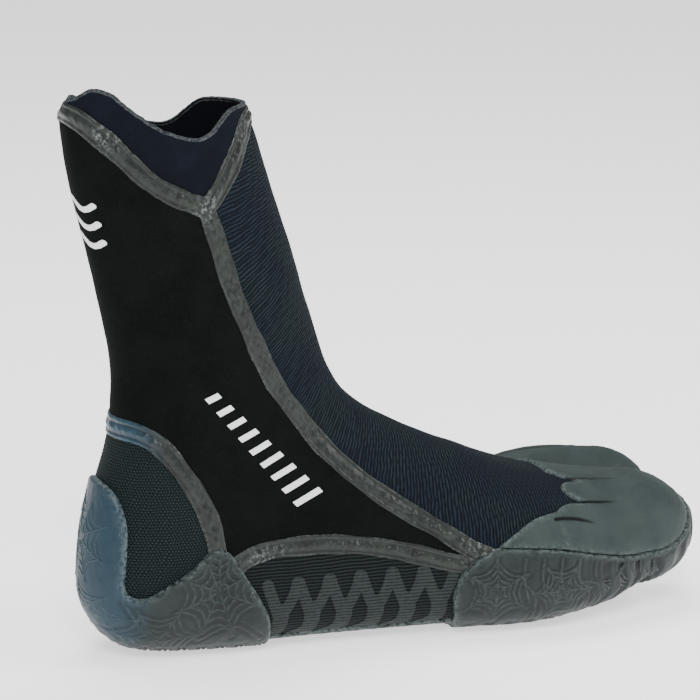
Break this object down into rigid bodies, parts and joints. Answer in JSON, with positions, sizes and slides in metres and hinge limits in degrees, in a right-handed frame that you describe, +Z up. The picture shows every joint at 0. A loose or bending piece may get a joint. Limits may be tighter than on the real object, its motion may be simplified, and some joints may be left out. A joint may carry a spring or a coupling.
{
  "type": "split-toe neoprene surf boot",
  "caption": "Pull-on high-cut neoprene surf boot with a separate big toe, taped seams, ribbed instep panel and moulded rubber heel cup, forefoot sole and toe cap; right foot.",
  "frame": {"origin": "on the ground, at the centre of the boot's plan box", "axes": "+X to the toes, +Y to the inner side of the foot, +Z up the leg"},
  "size_m": [0.3007, 0.1035, 0.2521],
  "materials": {
    "neoprene_black": "matte smooth jersey",
    "neoprene_rib": "dark navy jersey with wavy grey-green ribs",
    "neoprene_navy": "smooth navy jersey",
    "heel_knit": "fine knit grid",
    "midfoot_knit": "fine horizontal ribs",
    "foam_edge": "cut foam edge",
    "fleece": "short fleece",
    "footbed_foam": "matte foam",
    "outsole_rubber": "matte, embossed web pattern",
    "cap_rubber": "matte, fine grain",
    "tape_rubber": "semi-gloss, slightly wrinkled",
    "print_white": "satin white film",
    "print_grey": "satin grey film",
    "thread": "thread"
  },
  "bodies": {
    "root": {"arch_sole": "outsole_rubber", "back_emblem": "print_white", "collar_gaiter": "neoprene_navy", "collar_rim_edge": "foam_edge", "collar_tape_front": "tape_rubber", "collar_tape_rear": "tape_rubber", "footbed": "footbed_foam", "forefoot_outsole": "outsole_rubber", "front_seam_tape_lateral": "tape_rubber", "front_seam_tape_medial": "tape_rubber", "heel_cup_stitching": "thread", "heel_outsole": "outsole_rubber", "heel_panel": "heel_knit", "heel_seam_tape": "tape_rubber", "instep_panel": "neoprene_rib", "midfoot_panel_lateral": "midfoot_knit", "midfoot_panel_medial": "midfoot_knit", "midfoot_print_lateral": "print_grey", "midfoot_print_medial": "print_grey", "midfoot_seam_tape_lateral": "tape_rubber", "midfoot_seam_tape_medial": "tape_rubber", "shaft_panel": "neoprene_black", "side_print_lateral": "print_white", "side_print_medial": "print_white", "sock_lining": "fleece", "sole_panel": "neoprene_black", "toe_box_big_toe": "neoprene_black", "toe_box_small_toes": "neoprene_black", "toe_cap": "cap_rubber", "toe_split_bead": "tape_rubber"}
  },
  "joints": []
}
